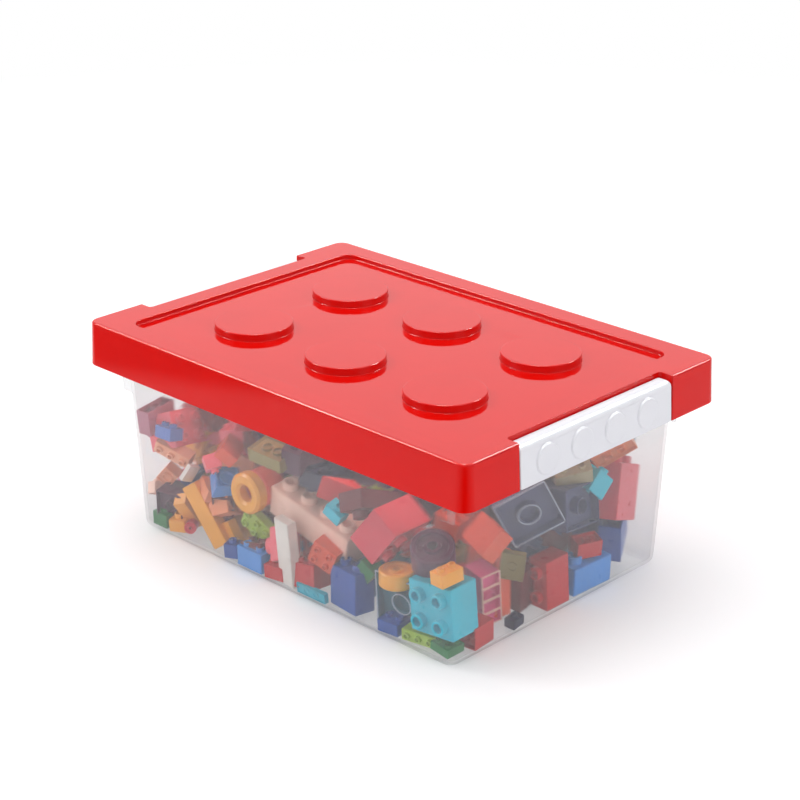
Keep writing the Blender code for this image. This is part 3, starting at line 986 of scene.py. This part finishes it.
BACKING_ROWS = (
    (Stock.WIDE_2X1, Hue.MAROON, (-105, -52, 16), (-19, -5, -5)),
    (Stock.FINE_3X3, Hue.BLUSH, (-106, -44, 19), (6, -11, -3)),
    (Stock.TALL_2X2, Hue.PEACH, (-111, -45, 40), (0, 7, -26)),
    (Stock.BROAD_2X1, Hue.PINK, (-105, -39, 52), (-19, 7, 22)),
    (Stock.BROAD_2X1, Hue.ROSE, (-107, -42, 66), (9, -21, 0)),
    (Stock.BROAD_2X1, Hue.MAGENTA, (-96, -48, 15), (13, -8, -21)),
    (Stock.TALL_3X2, Hue.ROSE, (-78, -53, 25), (-7, 13, 0)),
    (Stock.TALL_2X2, Hue.AMBER, (-103, -44, 35), (19, -18, 20)),
    (Stock.TALL_2X2, Hue.PINK, (-70, -54, 60), (2, -11, 14)),
    (Stock.WIDE_2X1, Hue.MAROON, (-92, -51, 75), (-12, 6, -23)),
    (Stock.BROAD_2X1, Hue.AMBER, (-67, -48, 14), (-13, -4, 17)),
    (Stock.WIDE_2X1, Hue.BLUSH, (-54, -51, 23), (19, 21, 13)),
    (Stock.WIDE_2X1, Hue.PEACH, (-67, -54, 46), (-4, 2, -1)),
    (Stock.TALL_2X2, Hue.PINK, (-61, -50, 59), (-21, -3, 7)),
    (Stock.FINE_3X3, Hue.ROSE, (-57, -59, 84), (-13, 14, -20)),
    (Stock.TALL_3X2, Hue.MAROON, (-42, -56, 16), (14, -15, 1)),
    (Stock.FINE_3X3, Hue.SLATE, (-38, -50, 20), (16, -9, -3)),
    (Stock.FINE_3X3, Hue.MAROON, (-58, -46, 34), (-6, 18, 23)),
    (Stock.TALL_4X2, Hue.OLIVE, (-42, -43, 54), (-7, 12, -6)),
    (Stock.TALL_2X2, Hue.NAVY, (-37, -62, 82), (8, 8, -29)),
    (Stock.TALL_3X2, Hue.BLUE, (-27, -52, 16), (-19, -12, 6)),
    (Stock.TALL_3X2, Hue.NAVY, (-21, -45, 22), (-3, 7, 17)),
    (Stock.WIDE_2X1, Hue.PLUM, (-20, -56, 76), (-21, 2, 0)),
    (Stock.WIDE_2X1, Hue.RED, (-1, -50, 12), (2, 0, 6)),
    (Stock.WIDE_2X1, Hue.SLATE, (2, -46, 18), (21, 10, 27)),
    (Stock.TALL_2X2, Hue.NAVY, (-14, -43, 70), (-9, 0, 25)),
    (Stock.WIDE_2X1, Hue.TEAL, (5, -37, 17), (-7, -17, 26)),
    (Stock.FINE_3X3, Hue.PLUM, (5, -38, 65), (-4, 19, -7)),
    (Stock.TALL_2X2, Hue.TEAL, (43, -56, 15), (-6, -19, -13)),
    (Stock.BROAD_2X1, Hue.PLUM, (28, -41, 70), (1, -13, -5)),
    (Stock.TALL_3X2, Hue.NAVY, (60, -48, 14), (-3, -5, 10)),
    (Stock.TALL_3X2, Hue.ORANGE, (65, -44, 21), (-19, -5, 26)),
    (Stock.TALL_4X2, Hue.SLATE, (78, -46, 19), (21, 20, 10)),
    (Stock.TALL_3X2, Hue.ROSE, (69, -43, 32), (-13, 14, -15)),
    (Stock.BROAD_2X1, Hue.ORANGE, (81, -36, 21), (-18, 13, 100)),
    (Stock.FINE_3X3, Hue.OLIVE, (76, -43, 32), (0, -18, 95)),
    (Stock.TALL_2X2, Hue.ORANGE, (84, -31, 15), (10, -18, 72)),
    (Stock.TALL_2X2, Hue.MAROON, (84, -17, 22), (-8, 2, 62)),
    (Stock.TALL_3X2, Hue.ORANGE, (81, -25, 33), (12, 20, 114)),
    (Stock.TALL_2X2, Hue.MAROON, (79, -15, 52), (-5, 10, 104)),
    (Stock.BROAD_2X1, Hue.MAROON, (85, -9, 17), (-21, -13, 85)),
    (Stock.TALL_2X2, Hue.SLATE, (89, 4, 24), (0, -11, 99)),
    (Stock.TALL_2X2, Hue.NAVY, (81, 5, 35), (-6, -7, 87)),
    (Stock.TALL_3X2, Hue.SLATE, (85, 7, 55), (-21, 18, 65)),
    (Stock.WIDE_2X1, Hue.NAVY, (82, 1, 68), (10, 14, 73)),
    (Stock.WIDE_2X1, Hue.SLATE, (90, 14, 18), (19, 15, 110)),
    (Stock.TALL_3X2, Hue.MAROON, (89, 29, 23), (-17, -20, 100)),
    (Stock.WIDE_2X1, Hue.SLATE, (86, 22, 37), (3, 17, 77)),
    (Stock.TALL_4X2, Hue.SAND, (89, 28, 54), (-9, 10, 82)),
    (Stock.WIDE_2X1, Hue.SLATE, (84, 20, 71), (21, -14, 110)),
    (Stock.WIDE_2X1, Hue.NAVY, (84, 44, 15), (-17, 3, 119)),
    (Stock.FINE_3X3, Hue.SLATE, (82, 59, 21), (16, -21, 71)),
    (Stock.TALL_3X2, Hue.TEAL, (86, 44, 42), (-20, 1, 97)),
    (Stock.TALL_2X2, Hue.TEAL, (88, 51, 56), (-19, -19, 66)),
    (Stock.TALL_3X2, Hue.SKY, (89, 42, 77), (-12, 1, 105)),
    (Stock.TALL_4X2, Hue.BLUE, (82, 67, 16), (-6, 13, 87)),
    (Stock.TALL_2X2, Hue.NAVY, (81, 74, 20), (-7, -15, 84)),
    (Stock.TALL_2X2, Hue.SLATE, (83, 70, 36), (7, 3, 74)),
    (Stock.TALL_4X2, Hue.ROSE, (84, 68, 56), (-14, 14, 81)),
    (Stock.WIDE_2X1, Hue.TEAL, (93, 67, 75), (-13, -5, 90)),
    (Stock.FINE_3X1, Hue.TEAL, (98, 75, 73), (-17, 5, 87)),
    (Stock.TALL_4X2, Hue.PLUM, (57, -35, 57), (9, 5, 28)),
    (Stock.TALL_4X2, Hue.AMBER, (-67, -55, 14), (0, 7, -14)),
    (Stock.TALL_3X2, Hue.ORANGE, (74, -28, 47), (14, -4, 96)),
    (Stock.TALL_4X2, Hue.TEAL, (37, -31, 19), (-20, 0, 27)),
    (Stock.FINE_3X1, Hue.MAGENTA, (-109, -56, 20), (15, 16, 0)),
)
BACKING_BLOCKS = [
    Block(hue, *stock.value, place, turn) for stock, hue, place, turn in BACKING_ROWS
]
LOWER_HUES = (
    Hue.RED, Hue.ORANGE, Hue.NAVY, Hue.GREEN, Hue.TEAL, Hue.BLUE,
    Hue.SKY, Hue.PEACH, Hue.ROSE, Hue.LIME, Hue.AMBER, Hue.MAROON,
)
LOWER_ROWS = (
    (Stock.FINE_4X1, (77, 45, 7), (-90, 0, 16)),
    (Stock.FINE_4X2, (-71, 60, 8), (0, 0, 119)),
    (Stock.FINE_4X1, (-10, 48, 8), (0, 0, -27)),
    (Stock.FINE_4X2, (-97, -26, 9), (180, 0, -14)),
    (Stock.FINE_3X2, (-43, 55, 8), (0, 0, -179)),
    (Stock.FINE_4X2, (12, 71, 9), (180, 0, 17)),
    (Stock.FINE_2X2, (-96, 64, 11), (156, 90, -170)),
    (Stock.WIDE_1X1, (-113, 67, 11), (173, -90, 97)),
    (Stock.WIDE_2X1, (61, 65, 11), (90, 0, -64)),
    (Stock.WIDE_2X1, (82, -27, 13), (0, 0, -128)),
    (Stock.WIDE_2X2, (-104, 37, 14), (180, 0, 178)),
    (Stock.FINE_2X2, (5, 74, 20), (-180, 0, 178)),
    (Stock.FINE_2X2, (-79, 18, 20), (0, 0, -78)),
    (Stock.FINE_4X1, (-81, 49, 14), (120, 21, -92)),
    (Stock.FINE_3X2, (-109, 75, 24), (0, 0, -180)),
    (Stock.FINE_4X2, (67, 63, 24), (-180, 0, 46)),
    (Stock.FINE_2X2, (-96, -22, 22), (-92, 90, -136)),
    (Stock.FINE_2X2, (-114, -20, 22), (90, 0, -180)),
    (Stock.FINE_4X1, (-91, 69, 22), (84, -18, -128)),
    (Stock.WIDE_2X2, (-105, -2, 19), (90, 0, 180)),
    (Stock.WIDE_2X2, (-47, 74, 19), (180, -87, 90)),
    (Stock.WIDE_1X1, (-46, 54, 26), (-110, 81, -19)),
    (Stock.FINE_4X2, (-76, 44, 25), (-19, 19, -102)),
    (Stock.FINE_3X2, (-82, -41, 29), (23, 13, -128)),
    (Stock.WIDE_1X1, (-73, 74, 28), (-95, 24, -2)),
    (Stock.FINE_2X2, (-115, 73, 36), (0, 0, -1)),
    (Stock.WIDE_3X2, (33, 58, 31), (7, 6, 75)),
    (Stock.WIDE_2X1, (1, 69, 33), (-90, 0, 90)),
    (Stock.FINE_4X2, (-89, 67, 33), (24, 4, 90)),
    (Stock.WIDE_2X1, (-19, 75, 26), (82, 68, -8)),
    (Stock.FINE_4X1, (-30, 60, 28), (-172, -68, 173)),
    (Stock.WIDE_2X1, (-106, -27, 39), (81, 0, -7)),
    (Stock.WIDE_3X2, (-83, 8, 38), (153, 0, -90)),
    (Stock.WIDE_2X1, (-111, 21, 37), (90, 25, 90)),
    (Stock.WIDE_1X1, (-111, -46, 45), (90, -20, -97)),
    (Stock.WIDE_1X1, (-55, 77, 45), (0, 3, 92)),
    (Stock.WIDE_2X1, (-27, 48, 41), (-1, 27, 4)),
    (Stock.WIDE_4X2, (44, 70, 46), (-176, -8, 180)),
    (Stock.WIDE_1X1, (-45, 26, 51), (13, 15, -48)),
    (Stock.FINE_3X2, (5, 72, 53), (54, -90, 124)),
    (Stock.FINE_3X2, (-66, 9, 53), (-140, 23, 172)),
    (Stock.WIDE_2X1, (68, -11, 62), (-77, -3, -65)),
    (Stock.WIDE_3X2, (49, 30, 54), (-162, 22, 96)),
    (Stock.WIDE_2X2, (-17, 76, 60), (87, 4, -1)),
    (Stock.WIDE_4X2, (-35, 2, 46), (-1, -90, 96)),
    (Stock.WIDE_2X2, (29, -34, 56), (112, 16, -20)),
    (Stock.WIDE_3X2, (80, 23, 53), (152, 58, 154)),
    (Stock.WIDE_2X2, (-42, -47, 65), (10, 10, -8)),
    (Stock.WIDE_2X2, (-78, -24, 60), (91, 27, 2)),
    (Stock.WIDE_2X2, (66, 77, 69), (64, -81, 26)),
    (Stock.WIDE_4X2, (16, -6, 66), (68, -7, 156)),
    (Stock.WIDE_2X2, (62, 56, 71), (64, -81, 26)),
)
LOWER_BLOCKS = [
    Block(hue, *stock.value, place, turn)
    for hue, (stock, place, turn) in zip(cycle(LOWER_HUES), LOWER_ROWS)
]


@dataclass
class BlockPile:
    """The loose toy blocks in the tub.

    Attributes:
        blocks: Every block.
        maker: What builds them.
        body: The body that they lie in.
    """

    blocks: list[Block]
    maker: BlockMaker = field(default_factory=BlockMaker)
    body: str = "tub"

    def of_hue(self, hue: Hue) -> BMesh:
        """Joins all blocks of one colour.

        Args:
            hue: The colour.

        Returns:
            The mesh in the making.
        """
        whole = bmesh.new()
        scratch = bpy.data.meshes.new("scratch")
        for block in self.blocks:
            if block.hue is not hue:
                continue
            for part in self.maker.build(block):
                part.transform(block.pose())
                part.to_mesh(scratch)
                part.free()
                whole.from_mesh(scratch)
        bpy.data.meshes.remove(scratch)
        bmesh.ops.recalc_face_normals(whole, faces=whole.faces)
        return whole

    def build(self) -> None:
        """Builds one piece for each colour in the pile."""
        for hue in Hue:
            name = f"toy_blocks_{hue.name.lower()}"
            piece = add_piece(name, self.of_hue(hue), block_plastic(hue).material())
            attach(piece, self.body)
            LOG.info("%s: %d faces", name, len(piece.data.polygons))


@dataclass(frozen=True)
class SoftBox:
    """A square studio lamp.

    Attributes:
        name: The lamp's name.
        place: Where it hangs, in metres.
        aim: What it points at.
        width: How wide it is.
        power: How strong it is, in watts.
        tint: The colour of its light.
        shown: Whether it can be seen, straight or mirrored.
        glint: Whether it only puts highlights on polished edges.
    """

    name: str
    place: Triple
    aim: Triple
    width: float
    power: float
    tint: Triple = (1.0, 1.0, 1.0)
    shown: bool = True
    glint: bool = False

    def light(self) -> Object:
        """Hangs the lamp.

        Returns:
            The lamp.
        """
        lamp = bpy.data.lights.new(self.name, "AREA")
        lamp.shape = "SQUARE"
        lamp.size = self.width
        lamp.energy = self.power
        lamp.color = self.tint
        hung = aim_object(self.name, lamp, self.place, self.aim)
        hung.visible_camera = hung.visible_transmission = self.shown and not self.glint
        hung.visible_glossy = self.shown
        hung.visible_diffuse = not self.glint
        return hung


@dataclass(frozen=True)
class MirrorShadePatch:
    """A patch of the floor that polished faces mirror darker than the rest: painted shade in their
    reflections, not in the floor itself.

    Attributes:
        place: Its middle, in metres.
        reach: Its inner and outer radius.
        share: How much darker its painted reflection is inside.
    """

    place: Triple
    reach: Pair
    share: float


@dataclass
class Studio:
    """The floor, backdrop, lamps and camera.

    Attributes:
        camera_place: Where the camera stands, in metres.
        camera_aim: What it points at.
        lens: Its focal length, in millimetres.
        sensor: Its sensor's width, in millimetres.
        sky: How strongly the surroundings light the object.
        floor_colour: The floor's sRGB colour.
        floor_lift: How much brighter the floor looks than it is lit.
        floor_width: How wide the floor is, in metres.
        floor_fade: How far out it starts and ends turning into the white backdrop, in metres.
        mirror_shade_share: How much darker the floor is in mirrors: painted shade on every
            reflection of it.
        mirror_shade_patches: Patches of it whose painted reflection is darker still.
        lamps: The lamps.
    """

    camera_place: Triple = (0.7465, -0.7683, 0.5321)
    camera_aim: Triple = (0.01884, -0.01537, 0.09921)
    lens: float = 92.99
    sensor: float = 36.0
    sky: float = 0.62
    floor_colour: Triple = (0.97, 0.97, 0.975)
    floor_lift: float = 0.12
    floor_width: float = 12.0
    floor_fade: Pair = (0.45, 1.2)
    # Painted reflections: polished faces mirror the floor darker, most of all at two patches. This
    # paints dark bands on the red skirt and at its near corner.
    mirror_shade_share: float = 0.22
    mirror_shade_patches: tuple[MirrorShadePatch, ...] = (
        MirrorShadePatch((0.345, -0.292, 0.0), (0.06, 0.30), 1.0),
        MirrorShadePatch((-0.52, -0.62, 0.0), (0.345, 0.385), 0.80),
    )
    lamps: tuple[SoftBox, ...] = (
        SoftBox("overhead", (-0.30, 0.20, 3.0), (0.0, 0.0, 0.05), 2.6, 36.0),
        SoftBox("front_left", (-1.8, -2.6, 1.8), (0.0, 0.0, 0.08), 2.0, 16.0),
        SoftBox("key", (-1.9, -1.15, 2.0), (0.0, 0.0, 0.10), 0.5, 14.0),
        SoftBox("right", (3.0, 0.4, 1.8), (0.0, 0.0, 0.08), 2.0, 20.0),
        SoftBox("behind", (-1.52, 1.58, 1.05), (0.0, 0.0, 0.12), 2.0, 4.4),
        SoftBox("front_glint", (-1.95, -1.18, 1.95), (0.0, 0.0, 0.10), 1.0, 80.0, glint=True),
        SoftBox("end_glint", (0.93, 2.0, 2.05), (0.0, 0.0, 0.10), 1.0, 110.0, glint=True),
        SoftBox("stud_glint", (0.0, 0.0, 3.0), (0.0, 0.0, 0.10), 1.0, 110.0, glint=True),
        SoftBox(
            "lid_glow",
            (0.0, 0.0, 0.1195),
            (0.0, 0.0, 0.0),
            0.165,
            0.25,
            tint=(1.0, 0.62, 0.58),
            shown=False,
        ),
    )

    def seen(self, recipe: Recipe) -> NodeSocket:
        """Tells rays that show a surface from those that only light others.

        Args:
            recipe: The material or world that asks.

        Returns:
            1 for camera, mirror and see-through rays, otherwise 0.
        """
        path = recipe.node("LightPath")
        total = path.outputs["Is Camera Ray"]
        for name in ("Is Glossy Ray", "Is Transmission Ray"):
            total = recipe.math("MAXIMUM", total, path.outputs[name])
        return total

    def by_ray(self, recipe: Recipe, unseen: float, seen: float) -> NodeSocket:
        """Gives one number to rays that only light, and another to rays that show a surface."""
        return recipe.mapped(self.seen(recipe), (0.0, 1.0), (unseen, seen))

    def distance(self, recipe: Recipe) -> NodeSocket:
        """Tells how far out a shown spot of the floor lies.

        Args:
            recipe: The floor's material.

        Returns:
            0 near the middle and for rays that only light, up to 1 where the backdrop takes over.
        """
        out = recipe.node("VectorMath", {0: recipe.place}, operation="LENGTH").outputs["Value"]
        fade = recipe.mapped(out, self.floor_fade, (0.0, 1.0))
        return recipe.math("MULTIPLY", fade, self.seen(recipe))

    def mirrored(self, recipe: Recipe) -> NodeSocket:
        """Tells how much darker a spot of the floor is in mirrors, as painted shade in its
        reflections.

        Args:
            recipe: The floor's material.

        Returns:
            The share for mirror rays, and 0 for all others.
        """
        share = self.mirror_shade_share
        for patch in self.mirror_shade_patches:
            ends = {0: recipe.place, 1: patch.place}
            apart = recipe.node("VectorMath", ends, operation="DISTANCE").outputs["Value"]
            spot = recipe.mapped(apart, patch.reach, (patch.share, self.mirror_shade_share))
            share = recipe.math("MAXIMUM", share, spot)
        mirror = recipe.node("LightPath").outputs["Is Glossy Ray"]
        return recipe.math("MULTIPLY", share, mirror)

    def lay_floor(self) -> Object:
        """Lays a plain pale floor that keeps the object's shadow.

        Returns:
            The floor.
        """
        recipe = Recipe(bpy.data.materials.new("floor_pale"))
        matte = recipe.node("BsdfDiffuse", {"Color": linear(self.floor_colour)}).outputs[0]
        lift = self.by_ray(recipe, 0.0, self.floor_lift)
        glow, white, black = (
            recipe.node("Emission", {"Strength": strength}).outputs[0]
            for strength in (lift, 1.0, 0.0)
        )
        lifted = recipe.node("AddShader", {0: matte, 1: glow}).outputs[0]
        fade = {0: self.distance(recipe), 1: lifted, 2: white}
        faded = recipe.node("MixShader", fade).outputs[0]
        # Mirror rays see the floor darker by this share: painted shade in its reflections.
        mirror_shade_mix = {0: self.mirrored(recipe), 1: faded, 2: black}
        material = recipe.finish(recipe.node("MixShader", mirror_shade_mix).outputs[0])
        bm = bmesh.new()
        bmesh.ops.create_grid(bm, x_segments=1, y_segments=1, size=0.5 * self.floor_width)
        floor = add_piece("floor", bm, material)
        return floor

    def hang_sky(self) -> World:
        """Surrounds the object with even white light.

        Returns:
            The world.
        """
        world = bpy.data.worlds.new("surroundings")
        recipe = Recipe(world)
        sockets = {"Color": (1.0, 1.0, 1.0, 1.0), "Strength": self.by_ray(recipe, self.sky, 1.0)}
        glow = recipe.node("Background", sockets)
        bpy.context.scene.world = world
        return recipe.finish(glow.outputs[0])

    def set_camera(self) -> Object:
        """Puts the camera at the photograph's place.

        Returns:
            The camera.
        """
        optics = bpy.data.cameras.new("camera")
        optics.lens = self.lens
        optics.sensor_width = self.sensor
        camera = aim_object("camera", optics, self.camera_place, self.camera_aim)
        bpy.context.scene.camera = camera
        return camera

    def build(self) -> None:
        """Sets up the whole studio."""
        bpy.context.scene.view_settings.view_transform = "Standard"
        self.lay_floor()
        self.hang_sky()
        self.set_camera()
        for lamp in self.lamps:
            lamp.light()
        LOG.info("studio: %d lamps", len(self.lamps))


@dataclass
class StorageBox:
    """The whole box as it is shown.

    Attributes:
        mouldings: Its four moulded pieces.
        contents: The toy blocks in it.
    """

    mouldings: list[Moulding]
    contents: BlockPile

    def dress(self, frame: dict) -> None:
        """Builds every piece.

        Args:
            frame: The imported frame.
        """
        for moulding in self.mouldings:
            moulding.dress(frame)
        self.contents.build()


def main() -> None:
    """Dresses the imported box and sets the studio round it."""
    logging.basicConfig(level=logging.INFO, format="%(message)s")
    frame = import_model()
    Studio().build()
    mouldings = [
        Moulding("tub", "clear_plastic", TUB_FROST),
        Moulding("lid", "red_plastic", LID_RED),
        *(Moulding(f"latch_{end.value}", "white_plastic", LATCH_WHITE) for end in End),
    ]
    pile = BlockPile(SHOWN_BLOCKS + BACKING_BLOCKS + LOWER_BLOCKS)
    StorageBox(mouldings, pile).dress(frame)


if __name__ == "__main__":
    main()
